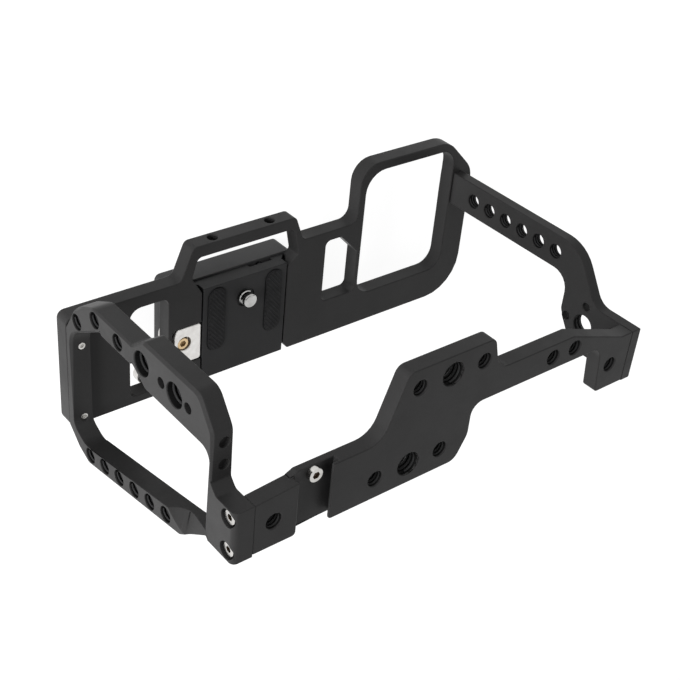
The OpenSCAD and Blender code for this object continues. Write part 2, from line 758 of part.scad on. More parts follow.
module grip_arm() color("#333335") placed() difference() {
    upright_plate(arm_outline(), arm_x, arm_x + arm_t);
    for (i = [0:arm_holes - 1])
        tapped_x(arm_x, arm_x + arm_t, arm_row_y, inner_z + arm_first_hole_h + i * arm_hole_pitch,
                 small_thread_d);
    tapped_x(arm_x, arm_x + arm_t, arm_boss_y, inner_z + arm_boss_h, large_thread_d);
    along_x(arm_x - over, arm_x + arm_t + over, arm_boss_y + arm_locating_gap, inner_z + arm_boss_h,
            arm_locating_d / 2);
    along_x(arm_x - over, arm_x + arm_t + over, arm_boss_y, inner_z + arm_boss_h - arm_locating_gap,
            arm_locating_d / 2);
    for (y = arm_end_screw_y) {
        along_x(arm_x - over, arm_x + arm_t + over, y, cage_h - side_head_hole_inset, bolt_r + bolt_fit);
        along_x(arm_x + arm_t - bolt_head_t, arm_x + arm_t + over, y, cage_h - side_head_hole_inset,
                bolt_head_r + bolt_fit);
    }
    for (y = arm_base_screw_y)
        along_z(arm_mid_x(), y, inner_z - over, inner_z + arm_bolt_l - base_t, bolt_r);
}

// Place of the stop pin, from front to rear
function stop_y() = plate_l - stop_notch_d + stop_r + stop_gap;

// Sides of the clamp body, and the screws that hold it under the base plate
function clamp_left() = plate_x - clamp_w / 2 - clamp_shift;
function clamp_right() = plate_x + clamp_w / 2 - clamp_shift;
function clamp_screw_places() = [
    for (side = [-1, 1]) for (y = side < 0 ? clamp_left_screw_y : clamp_right_screw_y)
        [plate_x + side * clamp_screw_offset, y]
];

module clamp_body() color("#2a2a2c") placed() difference() {
    flat_plate(rounded([
        [clamp_left(), 0, clamp_r], [clamp_right(), 0, clamp_r],
        [clamp_right(), clamp_l, clamp_r], [clamp_left(), clamp_l, clamp_r]
    ]), 0, base_z);
    along_z(pivot_x, pivot_y, lever_floor, base_z + over, hub_r + jaw_gap);
    translate([clamp_left() - over, pivot_y - lever_slot_rear, lever_floor])
        cube([pivot_x - clamp_left() + over, lever_slot_rear + lever_slot_front, base_z]);
    along_z(pivot_x, pivot_y, pin_root, base_z + over, pin_r);
    along_z(tripod_x, tripod_y, -over, base_z + over, bushing_r);
    for (side = [-1, 1])
        tapped_z(tripod_x + side * foot_thread_gap, tripod_y, 0, base_z, small_thread_d);
    along_z(plate_x, camera_screw_y, -over, base_z + over, access_r);
    along_z(plate_x + stop_offset, stop_y(), base_z - stop_depth, base_z + over, stop_r);
    for (place = clamp_screw_places()) {
        along_z(place.x, place.y, -over, base_z + over, clamp_screw_r + bolt_fit);
        along_z(place.x, place.y, -over, clamp_head_t + clamp_head_inset, clamp_head_r + bolt_fit);
    }
}

module clamp_screws() color("#b9bbbe") placed() for (place = clamp_screw_places())
    translate([place.x, place.y, clamp_head_inset]) rotate([180, 0, 0])
        cap_screw(clamp_head_r, clamp_head_t, clamp_screw_r,
                  base_z - clamp_head_inset - clamp_head_t + clamp_thread_l, clamp_hex_r, bolt_hex_depth);

module thread_bushing() color("#b9bbbe") placed() difference() {
    along_z(tripod_x, tripod_y, 0, bushing_l, bushing_r);
    along_z(tripod_x, tripod_y, -over, bushing_l + over, bushing_core_r);
    translate([tripod_x - bushing_r - over, tripod_y - bushing_slot_w / 2, bushing_l - bushing_slot_depth])
        cube([2 * bushing_r + 2 * over, bushing_slot_w, bushing_slot_depth + over]);
}

// Jaw: a block in the notch of the base plate, undercut like the channel
function jaw_left() = channel_left - notch_w + jaw_travel_gap;
function jaw_nose() = plate_x - plate_w / 2 - jaw_nose_gap;
function jaw_root() = plate_x - plate_w / 2 - dovetail - jaw_gap;
function jaw_section() =
    let (foot = dovetail_foot + jaw_gap - plate_rest_gap, top = base_t - plate_rest_gap - jaw_below)
    [[jaw_left(), 0], [jaw_root(), 0], [jaw_root(), foot], [jaw_nose(), foot + jaw_nose() - jaw_root()],
     [jaw_nose(), top], [jaw_left(), top]];
function jaw_outline() =
    let (rear = notch_y - notch_d / 2 + jaw_gap, front = notch_y + notch_d / 2 - jaw_gap)
    rounded([
        [jaw_left() + jaw_slant_w, rear, jaw_r], [jaw_nose(), rear, jaw_r], [jaw_nose(), front, jaw_r],
        [jaw_left() + jaw_slant_w, front, jaw_r], [jaw_left(), front - jaw_slant_d, jaw_r],
        [jaw_left(), rear + jaw_slant_d, jaw_r]
    ]);

module lock_jaw() color("#d7d8d9") placed() difference() {
    intersection() {
        flat_plate(jaw_outline(), base_z, inner_z);
        translate([0, notch_y + notch_d, base_z + plate_rest_gap]) rotate([90, 0, 0])
            linear_extrude(2 * notch_d) polygon(jaw_section());
    }
    long_hole(cam_rest.x, cam_mid_y, cam_r + cam_fit, cam_swing, base_z,
              base_z + cam_h - lever_lift + cam_fit);
    long_hole(slot_mid, pivot_y, pin_r + jaw_travel / 2 + 2 * cam_fit, cam_fit, base_z, inner_z);
    long_hole(slot_mid, pivot_y, screw_head_r + jaw_travel / 2 + cam_fit, cam_fit,
              screw_top - screw_head_t - cam_fit, inner_z + over);
}

// Slot about x and y that is longer along Y by the stretch at both ends
module long_hole(x, y, r, stretch, low, high) {
    for (side = [-1, 1]) along_z(x, y + side * stretch, low, high, r);
    translate([x - r, y - stretch, low]) cube([2 * r, 2 * stretch, high - low]);
}

lever_low = base_z - lever_lift - lever_t;

// The boss starts on the camera plate side and ends as far on the other side, half a travel later
lever_travel = 85;
cam_angle = lever_travel / 2 - 90;
cam_rest = [pivot_x + cam_throw * cos(cam_angle), pivot_y + cam_throw * sin(cam_angle)];
jaw_travel = 2 * cam_throw * cos(cam_angle);
slot_mid = pivot_x + jaw_travel / 2;
screw_top = inner_z - jaw_below - screw_sink;
cam_mid_y = pivot_y - cam_throw * (1 - sin(cam_angle)) / 2;
cam_swing = cam_throw * (1 + sin(cam_angle)) / 2 + cam_fit;

module lock_lever() color("#c9cacb") placed() difference() {
    union() {
        along_z(pivot_x, pivot_y, lever_low, base_z - lever_lift, hub_r);
        hull() {
            along_z(pivot_x, pivot_y, lever_low, base_z - lever_lift, lever_neck_r);
            along_z(lever_tip().x, lever_tip().y, lever_low, base_z - lever_lift, lever_neck_r);
        }
        along_z(lever_tip().x, lever_tip().y, lever_low, base_z - lever_lift, lever_tip_r);
        along_z(cam_rest.x, cam_rest.y, base_z - lever_lift - over,
                base_z - lever_lift + cam_h - cam_fit, cam_r);
    }
    along_z(pivot_x, pivot_y, lever_low - over, base_z + cam_h, pin_r + pin_fit);
}
function lever_tip() =
    [pivot_x + lever_l * cos(lever_rest_angle), pivot_y + lever_l * sin(lever_rest_angle)];

module lever_washer() color("#c9cacb") placed() difference() {
    along_z(pivot_x, pivot_y, lever_floor, lever_floor + washer_t - jaw_gap / 3, washer_r);
    along_z(pivot_x, pivot_y, lever_floor - over, lever_floor + washer_t + over, pin_r + pin_fit);
}

module lever_screw() color("#c8a45a") placed() translate([pivot_x, pivot_y, screw_top])
    cap_screw(screw_head_r, screw_head_t, pin_r, screw_top - screw_head_t - pin_root - bolt_fit,
              hex_r, hex_depth);

// Pocket or pad with round ends
module pad_shape(side, low, high, shrink) {
    x = plate_x + side * pad_offset;
    front = plate_l - pad_front_gap - pad_w / 2;
    rear = front - pad_l + pad_w;
    for (y = [front, rear]) along_z(x, y, low, high, pad_w / 2 - shrink);
    translate([x - pad_w / 2 + shrink, rear, low]) cube([pad_w - 2 * shrink, front - rear, high - low]);
}

module camera_plate() color("#2b2b2d") placed() difference() {
    intersection() {
        translate([plate_x, plate_l, base_z]) rotate([90, 0, 0])
            linear_extrude(plate_l) polygon(dovetail_section(plate_w, 0));
        translate([plate_x - plate_w, -over, base_z + plate_rest_gap])
            cube([2 * plate_w, plate_l + 2 * over, base_t - plate_rest_gap]);
    }
    along_z(plate_x, camera_screw_y, base_z, inner_z + over, camera_screw_neck_r + camera_screw_fit);
    along_z(plate_x, camera_screw_y, inner_z - camera_thread_depth - 2 * camera_screw_fit, inner_z + over,
            camera_screw_mouth_r);
    along_z(plate_x, camera_screw_y, base_z,
            base_z + 2 * plate_rest_gap + camera_screw_head_t + camera_screw_fit,
            camera_screw_head_r + camera_screw_fit);
    for (side = [-1, 1]) pad_shape(side, inner_z - pad_pocket, inner_z + over, 0);
    translate([plate_x + stop_offset - stop_notch_w / 2, plate_l - stop_notch_d, base_z])
        cube([stop_notch_w, stop_notch_d + over, stop_notch_h]);
}

module stop_pin() color("#b9bbbe") placed()
    along_z(plate_x + stop_offset, stop_y(), base_z - stop_depth, base_z + stop_notch_h - stop_gap, stop_r);

module grip_pad(side) pad_shape(side, inner_z - pad_pocket, inner_z + pad_proud, bolt_fit);
module left_grip_pad() color("#1d1d1e") placed() grip_pad(-1);
module right_grip_pad() color("#1d1d1e") placed() grip_pad(1);

module camera_screw() color("#c4c6c8") placed() difference() {
    union() {
        along_z(plate_x, camera_screw_y, base_z + 2 * plate_rest_gap,
                base_z + 2 * plate_rest_gap + camera_screw_head_t, camera_screw_head_r);
        along_z(plate_x, camera_screw_y, base_z + 2 * plate_rest_gap, inner_z, camera_screw_neck_r);
        along_z(plate_x, camera_screw_y, inner_z - camera_thread_depth, inner_z + camera_screw_proud,
                small_thread_d / 2);
    }
    translate([plate_x - camera_screw_head_r - over, camera_screw_y - coin_slot_w / 2, base_z])
        cube([2 * camera_screw_head_r + 2 * over, coin_slot_w, 2 * plate_rest_gap + coin_slot_depth]);
}

module side_top_screws() color("#c4c6c8") placed() for (side = [-1, 1])
    translate([counterbore_depth - bolt_head_t, head_mid_y() + side * side_head_hole_gap,
               cage_h - side_head_hole_inset])
        rotate([0, -90, 0])
            cap_screw(bolt_head_r, bolt_head_t, bolt_r, side_bolt_l, bolt_hex_r, bolt_hex_depth);

module side_base_screws() color("#c4c6c8") placed() for (y = [flange_screw_rear, flange_screw_front])
    translate([flange_screw_x, y, inner_z + side_flange])
        cap_screw(flange_head_r, flange_head_t, flange_bolt_r, flange_bolt_l - flange_head_t - bolt_fit,
                  flange_hex_r, flange_hex_depth);

module arm_base_screws() color("#3a3a3c") placed() for (y = arm_base_screw_y)
    translate([arm_mid_x(), y, base_z]) rotate([180, 0, 0])
        cap_screw(bolt_head_r, bolt_head_t, bolt_r, arm_bolt_l - bolt_head_t - bolt_fit,
                  bolt_hex_r, bolt_hex_depth);

module arm_end_screws() color("#3a3a3c") placed() for (y = arm_end_screw_y)
    translate([arm_x + arm_t, y, cage_h - side_head_hole_inset]) rotate([0, 90, 0])
        cap_screw(bolt_head_r, bolt_head_t, bolt_r, arm_bolt_l - bolt_fit, bolt_hex_r, bolt_hex_depth);

module seat_screw() color("#c9c4ba") placed()
    translate([seat_screw_x, seat_screw_y, cage_h - seat_depth + seat_screw_head_t])
        cap_screw(seat_screw_head_r, seat_screw_head_t, seat_screw_r, seat_screw_l,
                  seat_hex_r, seat_hex_depth);

base_plate();
side_plate();
top_plate();
grip_arm();
clamp_body();
clamp_screws();
thread_bushing();
lock_jaw();
lock_lever();
lever_washer();
lever_screw();
camera_plate();
left_grip_pad();
right_grip_pad();
camera_screw();
side_top_screws();
side_base_screws();
arm_base_screws();
arm_end_screws();
seat_screw();
stop_pin();
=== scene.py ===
# %% [markdown]
# # A camera cage, from CAD solids to a finished picture
# The cage is four milled aluminium pieces screwed together round a camera, with a quick release
# clamp under the base plate. The solids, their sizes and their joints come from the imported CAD
# model. This lesson keeps that frame fixed and gives it what a machine shop and an anodising
# bath leave behind: broken edges, threads, real screws, ribbed rubber and satin black metal.

# %% Load the frame
import json
import math

import bmesh
import bpy
from mathutils import Matrix, Vector


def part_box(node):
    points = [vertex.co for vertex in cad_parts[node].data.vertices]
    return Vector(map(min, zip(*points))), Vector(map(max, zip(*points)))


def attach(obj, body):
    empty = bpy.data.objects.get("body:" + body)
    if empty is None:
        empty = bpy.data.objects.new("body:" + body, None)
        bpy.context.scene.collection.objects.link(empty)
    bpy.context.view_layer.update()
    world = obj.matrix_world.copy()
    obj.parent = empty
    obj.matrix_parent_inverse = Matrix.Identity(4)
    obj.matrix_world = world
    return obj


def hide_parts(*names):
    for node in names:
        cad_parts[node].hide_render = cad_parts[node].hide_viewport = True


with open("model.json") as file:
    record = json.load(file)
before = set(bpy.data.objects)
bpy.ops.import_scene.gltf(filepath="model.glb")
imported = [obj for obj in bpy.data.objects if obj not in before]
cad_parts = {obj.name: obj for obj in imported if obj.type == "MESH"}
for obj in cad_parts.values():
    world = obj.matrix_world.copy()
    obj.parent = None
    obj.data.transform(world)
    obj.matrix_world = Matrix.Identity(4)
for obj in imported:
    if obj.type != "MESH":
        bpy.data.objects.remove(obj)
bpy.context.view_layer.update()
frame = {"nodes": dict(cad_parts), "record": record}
nodes = frame["nodes"]
mounts = {m["name"]: m for m in frame["record"]["mounts"]}
bodies = frame["record"]["behaviour"]["bodies"]
BODY_OF = {node: body for body, members in bodies.items() for node in members}
SLOT_OF = {s["node"]: s["material_slot"] for s in frame["record"]["subparts"]}
MM = 0.001
print("nodes:", len(nodes), "mounts:", len(mounts), "bodies:", len(bodies))


# %% Objects and sharp edges
def placed(name, data):
    thing = bpy.data.objects.new(name, data)
    bpy.context.scene.collection.objects.link(thing)
    return thing


def mark_sharp(shape, limit_deg):
    for edge in shape.edges:
        edge.smooth = edge.is_manifold and edge.calc_face_angle(0.0) < math.radians(limit_deg)


# %% [markdown]
# ## Finishes
# Black anodising is a thin dyed oxide on bead blasted aluminium. Up close it has a fine grain,
# a little cloudiness in its colour, and a sheen that changes slightly from place to place. It
# could be one dark colour, but then it would look like plastic. So each finish here is a small
# node tree: slow noise for the cloudiness, fast noise for the grain, and a bump that breaks up
# the highlights. All of it reads Object coordinates, which keep the same scale on every piece,
# because every piece sits at the origin.

# %% Node helpers
NOISE_LOW, NOISE_HIGH = 0.25, 0.75
RAMP_STOPS = (0.3, 0.7)


def link_value(tree, node, socket, value):
    if isinstance(value, bpy.types.NodeSocket):
        tree.links.new(value, node.inputs[socket])
    else:
        node.inputs[socket].default_value = value


def new_node(tree, kind, inputs=None, **settings):
    node = tree.nodes.new(kind)
    for name, value in settings.items():
        setattr(node, name, value)
    for socket, value in (inputs or {}).items():
        link_value(tree, node, socket, value)
    return node


def grain(tree, place, scale, detail=3.0, rough=0.6):
    return new_node(tree, "ShaderNodeTexNoise", {
        "Vector": place, "Scale": scale, "Detail": detail, "Roughness": rough}).outputs["Fac"]


def ramp(tree, factor, low, high):
    node = new_node(tree, "ShaderNodeValToRGB", {"Fac": factor})
    for stop, position, colour in zip(node.color_ramp.elements, RAMP_STOPS, (low, high)):
        stop.position, stop.color = position, (*colour, 1)
    return node.outputs["Color"]


def spread(tree, factor, low, high):
    return new_node(tree, "ShaderNodeMapRange", {
        "Value": factor, "From Min": NOISE_LOW, "From Max": NOISE_HIGH,
        "To Min": low, "To Max": high}).outputs["Result"]


def bump(tree, height, distance, strength):
    return new_node(tree, "ShaderNodeBump", {
        "Height": height, "Distance": distance, "Strength": strength}).outputs["Normal"]


def finish_base(name):
    mat = bpy.data.materials.new(name)
    mat.use_nodes = True
    tree = mat.node_tree
    shader = tree.nodes["Principled BSDF"]
    place = new_node(tree, "ShaderNodeTexCoord").outputs["Object"]
    return mat, tree, shader, place


# %% Black anodised aluminium
CLOUD_SCALE, SHEEN_SCALE, SPECK_SCALE = 38.0, 120.0, 2600.0
BLAST_DEPTH = 0.02 * MM


def anodised(name, dark, light, rough=0.42, gloss=0.2):
    mat, tree, shader, place = finish_base(name)
    cloud = grain(tree, place, CLOUD_SCALE, 4.0)
    speck = grain(tree, place, SPECK_SCALE, 2.0, 0.7)
    both = new_node(tree, "ShaderNodeMath", {0: cloud, 1: speck}, operation="ADD").outputs[0]
    tone = new_node(tree, "ShaderNodeMath", {0: both, 1: 0.5}, operation="MULTIPLY").outputs[0]
    sheen = grain(tree, place, SHEEN_SCALE)
    link_value(tree, shader, "Base Color", ramp(tree, tone, dark, light))
    link_value(tree, shader, "Roughness", spread(tree, sheen, rough - 0.05, rough + 0.06))
    link_value(tree, shader, "Normal", bump(tree, speck, BLAST_DEPTH, 0.6))
    shader.inputs["Metallic"].default_value = 0.0
    shader.inputs["Specular IOR Level"].default_value = gloss
    print("finish", name)
    return mat


BLACK_PLATE = anodised("black_anodised_plate", (0.0152, 0.0149, 0.0149),
                       (0.0228, 0.0225, 0.0227), gloss=0.13)
BLACK_CLAMP = anodised("black_anodised_clamp", (0.031, 0.031, 0.0315),
                       (0.044, 0.044, 0.045), 0.40)
# The thread crests are a touch darker than the plates: painted shade for the holes they sit in.
BLACK_THREAD_PAINTED_SHADE = anodised("black_anodised_thread_painted_shade", (0.013, 0.013, 0.0135),
                        (0.022, 0.022, 0.0225), 0.46, gloss=0.16)
# Painted shade: a near black colour for the walls of tapped bores, which lie in shade.
BORE_PAINTED_SHADE = anodised("bore_painted_shade", (0.005, 0.005, 0.005),
                      (0.009, 0.009, 0.009), 0.5, gloss=0.08)
BLACK_SLIDE = anodised("black_anodised_slide_plate", (0.0135, 0.0135, 0.014),
                       (0.0200, 0.0200, 0.0205), 0.44, gloss=0.13)


# %% Bare metals
STAIN_SCALE = 300.0
SCRATCH_DEPTH = 0.012 * MM
SCRATCH_STRETCH = (1.0, 0.12, 1.0)


def bare_metal(name, dark, light, rough, scratch=900.0):
    mat, tree, shader, place = finish_base(name)
    long_marks = new_node(tree, "ShaderNodeMapping", {"Vector": place, "Scale": SCRATCH_STRETCH})
    marks = grain(tree, long_marks.outputs["Vector"], scratch, 3.0, 0.7)
    stain = grain(tree, place, STAIN_SCALE)
    link_value(tree, shader, "Base Color", ramp(tree, stain, dark, light))
    link_value(tree, shader, "Roughness", spread(tree, marks, rough - 0.06, rough + 0.08))
    link_value(tree, shader, "Normal", bump(tree, marks, SCRATCH_DEPTH, 0.5))
    shader.inputs["Metallic"].default_value = 1.0
    print("finish", name)
    return mat


POLISHED_STEEL = bare_metal("polished_steel", (0.46, 0.45, 0.43), (0.62, 0.61, 0.59), 0.22)
CHROMED_STEEL = bare_metal("chromed_steel", (0.40, 0.40, 0.39), (0.52, 0.52, 0.51), 0.16, 1500.0)
BLASTED_STEEL = bare_metal("blasted_silver_steel", (0.68, 0.66, 0.64), (0.80, 0.79, 0.77),
                           0.42, 2400.0)
# Painted shade for the walls of hexagon sockets, which lie in shade: dark steel, then dark brass.
SOCKET_PAINTED_SHADE = bare_metal("socket_painted_shade", (0.10, 0.075, 0.055), (0.20, 0.16, 0.12), 0.45)
BRASS_SOCKET_PAINTED_SHADE = bare_metal("brass_socket_painted_shade", (0.26, 0.18, 0.09), (0.42, 0.30, 0.16), 0.45)
BLACK_OXIDE = bare_metal("black_oxide_steel", (0.03, 0.03, 0.032), (0.06, 0.06, 0.062), 0.35)
TURNED_BRASS = bare_metal("turned_brass", (0.56, 0.40, 0.22), (0.72, 0.55, 0.34), 0.32)


# %% Ribbed rubber
def rubber(name):
    mat, tree, shader, place = finish_base(name)
    dust = grain(tree, place, 700.0, 4.0)
    wear = grain(tree, place, 240.0)
    dark, light = (0.006, 0.006, 0.0063), (0.011, 0.011, 0.0115)
    link_value(tree, shader, "Base Color", ramp(tree, dust, dark, light))
    link_value(tree, shader, "Roughness", spread(tree, wear, 0.52, 0.70))
    link_value(tree, shader, "Normal", bump(tree, dust, 0.03 * MM, 0.5))
    shader.inputs["Specular IOR Level"].default_value = 0.14
    print("finish", name)
    return mat


PAD_RUBBER = rubber("ribbed_rubber")

# %% [markdown]
# ## Tapped bores
# A tapped hole is drilled to the thread's core and then tapped, and the groove that the tap
# leaves reaches to the thread's outer diameter. The CAD solids stop at the drilled hole. Cutting
# a groove needs a boolean for each hole, so the bore is opened to the outer diameter instead,
# and the crests are swept into it further on. A tapped hole lies in shade, so its wall also gets
# a painted shade: a near black colour.

# %% Where the threaded holes are
QUARTER_INCH_PITCH, THREE_EIGHTHS_PITCH = 1.27, 1.5875
SMALL_THREAD_R = 3.0 * MM
DEPTH_SHARE = 0.42
MOUTH_SLACK = 0.6 * MM


def hole_list():
    holes = []
    for m in frame["record"]["mounts"]:
        if m["kind"] == "threaded_hole":
            size = m["dims"]
            holes.append({"name": m["name"], "at": Vector(m["pos_m"]),
                          "axis": Vector(m["axis"]).normalized(),
                          "r": size["r_mm"] * MM, "length": size["length_mm"] * MM})
    return holes


def thread_pitch(r):
    return (QUARTER_INCH_PITCH if r < SMALL_THREAD_R else THREE_EIGHTHS_PITCH) * MM


def thread_depth(r):
    return thread_pitch(r) * DEPTH_SHARE


def off_axis(point, hole):
    if abs((point - hole["at"]).dot(hole["axis"])) > hole["length"] / 2 + MOUTH_SLACK:
        return math.inf
    return (point - hole["at"]).cross(hole["axis"]).length


HOLES = hole_list()
# The tripod thread's mount lies at the hole's mouth, and the others lie at their middles.
tripod = next(hole for hole in HOLES if hole["name"] == "tripod_thread")
tripod["at"] = tripod["at"] + Vector((0, 0, tripod["length"] / 2))
print("threaded holes:", len(HOLES))


# %% Bores opened to the thread's outer diameter
JUST_INSIDE, JUST_OUTSIDE = 0.98, 1.01


def open_bores(piece, bore_paint):
    mesh = piece.data
    mesh.materials.append(bore_paint)
    moved = painted = 0
    for hole in HOLES:
        wide = hole["r"] + thread_depth(hole["r"])
        for vert in mesh.vertices:
            along = (vert.co - hole["at"]).dot(hole["axis"])
            away = off_axis(vert.co, hole)
            if hole["r"] * JUST_INSIDE < away < wide:
                centre = hole["at"] + hole["axis"] * along
                vert.co = centre + (vert.co - centre) * (wide / away)
                moved += 1
    # Faces on a bore's wall take material 1, which is painted shade except in the bushing.
    for face in mesh.polygons:
        spots = [mesh.vertices[i].co for i in face.vertices]
        for hole in HOLES:
            wide = (hole["r"] + thread_depth(hole["r"])) * JUST_OUTSIDE
            if all(off_axis(p, hole) < wide for p in spots):
                face.material_index = 1
                painted += 1
                break
    print(piece.name, "bore corners:", moved, "bore faces:", painted)


# %% [markdown]
# ## Rounded rims
# The outer rim of the side frame is rounded wider than its other edges, and catches a soft band
# of light. A Bevel that wide runs into the small holes beside the rim and throws spikes. So the
# rim is made by hand: each of its corners moves in over the flat face, a new corner is set
# lower on the wall, and a strip of faces joins the two. Near a hole the strip narrows, and where
# it would be too narrow to see it ends.

# %% Loops round a flat face
SAME_WAY = 0.9999
PLANE_SLACK = 0.02 * MM
SMALLEST = 1e-12
HOLE_RIM_LENGTH = 100.0 * MM


def ring_of(run):
    middle = sum((v.co for v in run), Vector()) / len(run)
    return middle, max((v.co - middle).length for v in run)


def run_length(run):
    return sum((run[i].co - run[i - 1].co).length for i in range(len(run)))


def edge_room(start, end, rings):
    along = end - start
    room = 1.0
    for middle, reach in rings:
        share = (middle - start).dot(along) / max(along.length_squared, SMALLEST)
        nearest = start + along * max(0.0, min(1.0, share))
        room = min(room, (nearest - middle).length - reach)
    return room


def plane_loops(shape, normal, level):
    flat = {f for f in shape.faces if f.normal.dot(normal) > SAME_WAY
            and abs(f.calc_center_median().dot(normal) - level) < PLANE_SLACK}
    rim = {e for f in flat for e in f.edges if any(other not in flat for other in e.link_faces)}
    loops = []
    while rim:
        first = min(rim, key=lambda e: e.index)
        rim.discard(first)
        run, vert = [first.verts[0]], first.verts[1]
        while vert is not run[0]:
            run.append(vert)
            step = next(e for e in vert.link_edges if e in rim)
            rim.discard(step)
            vert = step.other_vert(vert)
        loops.append(run)
    return flat, loops


# %% The strip along one loop
LEAST_RIM = 0.34 * MM
LEAST_MITRE = 0.5
ROOM_SHARE = 0.6


def face_inside(run, i, flat):
    after = run[(i + 1) % len(run)]
    rim_edge = next(e for e in run[i].link_edges if e.other_vert(run[i]) is after)
    return next(f for f in rim_edge.link_faces if f in flat)


def inward_sides(run, normal, flat):
    sides = []
    for i, vert in enumerate(run):
        side = normal.cross((run[(i + 1) % len(run)].co - vert.co).normalized())
        if side.dot(face_inside(run, i, flat).calc_center_median() - vert.co) < 0:
            side.negate()
        sides.append(side)
    return sides


def strip_corners(shape, run, normal, sides, width_at):
    rows = []
    for i, vert in enumerate(run):
        spot, width = vert.co.copy(), width_at(i)
        if width < LEAST_RIM:
            rows.append((vert, vert, spot))
            continue
        mitre = math.sqrt(max(0.0, (1 + sides[i - 1].dot(sides[i])) / 2))
        inward = (sides[i - 1] + sides[i]).normalized() / max(LEAST_MITRE, mitre)
        rows.append((shape.verts.new(spot - normal * width), vert, spot + inward * width))
    return rows


def join_strip(shape, run, rows, flat):
    swap = {vert: fresh for fresh, vert, _ in rows if fresh is not vert}
    walls = dict.fromkeys(f for v in run if v in swap for f in v.link_faces if f not in flat)
    for wall in walls:
        made = shape.faces.new([swap.get(v, v) for v in wall.verts])
        made.smooth, made.material_index = True, wall.material_index
    bmesh.ops.delete(shape, geom=list(walls), context="FACES_ONLY")
    for _, vert, spot in rows:
        vert.co = spot
    for (low_a, top_a, _), (low_b, top_b, _) in zip(rows, rows[1:] + rows[:1]):
        corners = list(dict.fromkeys((top_a, top_b, low_b, low_a)))
        if len(corners) > 2:
            shape.faces.new(corners).smooth = True
    return len(swap)


# %% Round one face's rim
SMOOTH_DEG = 26


def round_rim(mesh, normal, level, wide_mm, share):
    shape = bmesh.new()
    shape.from_mesh(mesh)
    shape.normal_update()
    shape.edges.index_update()
    flat, loops = plane_loops(shape, normal, level)
    rings = [ring_of(run) for run in loops if run_length(run) < HOLE_RIM_LENGTH]
    moved = 0
    for run in [run for run in loops if run_length(run) >= HOLE_RIM_LENGTH]:
        spots = [v.co.copy() for v in run]

        def width_at(i):
            after = spots[(i + 1) % len(spots)]
            room = min(edge_room(spots[i - 1], spots[i], rings), edge_room(spots[i], after, rings))
            return min(wide_mm * MM, room * ROOM_SHARE) * share(spots[i])

        rows = strip_corners(shape, run, normal, inward_sides(run, normal, flat), width_at)
        moved += join_strip(shape, run, rows, flat)
    bare = [e for e in shape.edges if not e.link_faces]
    bmesh.ops.delete(shape, geom=bare, context="EDGES")
    bmesh.ops.recalc_face_normals(shape, faces=shape.faces)
    mark_sharp(shape, SMOOTH_DEG)
    shape.to_mesh(mesh)
    shape.free()
    return moved


# %% [markdown]
# ## Broken edges
# No edge on a milled part is left sharp: a small chamfer cutter breaks it, and it shows as a
# thin light line in the photograph. The CAD solids have sharp edges, so each node gets a
# twin: its mesh is copied, its loose triangles are joined again, and a Bevel modifier breaks
# every edge over 30 degrees, or over 40 on the side plate, whose rim is rounded already. The
# twin stands for the CAD node, which stays in the checks, hidden.

# %% The twin of a CAD node
WELD = 0.002 * MM


def joined_mesh(node):
    mesh = nodes[node].data.copy()
    shape = bmesh.new()
    shape.from_mesh(mesh)
    bmesh.ops.remove_doubles(shape, verts=shape.verts, dist=WELD)
    for face in shape.faces:
        face.smooth = True
    mark_sharp(shape, SMOOTH_DEG)
    shape.to_mesh(mesh)
    shape.free()
    return mesh


def twin(node, finish, edge_mm, segments=2, rims=(), least_deg=30):
    mesh = joined_mesh(node)
    for normal, level, wide_mm, share in rims:
        print(node, "rim corners:", round_rim(mesh, Vector(normal), level, wide_mm, share))
    mesh.materials.clear()
    mesh.materials.append(finish)
    piece = placed(node + "_finished", mesh)
    if edge_mm:
        soft = piece.modifiers.new("broken edges", "BEVEL")
        soft.width = edge_mm * MM
        soft.segments = segments
        soft.limit_method = "ANGLE"
        soft.angle_limit = math.radians(least_deg)
        soft.use_clamp_overlap = False
        soft.loop_slide = False
        soft.harden_normals = True
    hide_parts(node)
    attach(piece, BODY_OF[node])
    print(piece.name, "faces:", len(mesh.polygons))
    return piece


# %% Where the side plate's rim is rounded
REAR_BAR_Y, REAR_FADE = 4 * MM, 6 * MM
HEAD_Y, HEAD_Z, HEAD_FADE = 27.5 * MM, 108 * MM, 4 * MM


def side_rim_share(spot):
    past_rear_bar = (spot.y - REAR_BAR_Y) / REAR_FADE
    clear_of_head = max((HEAD_Z - spot.z) / HEAD_FADE, (spot.y - HEAD_Y) / HEAD_FADE)
    return max(0.0, min(1.0, past_rear_bar, clear_of_head))


SIDE_FACE_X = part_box("side_plate")[0][0]
SIDE_RIM = ((-1, 0, 0), -SIDE_FACE_X, 1.0, side_rim_share)
ROUNDED = {"side_plate": {"rims": [SIDE_RIM], "least_deg": 40}}
print("side plate's outer face at x", round(SIDE_FACE_X / MM, 2), "mm")

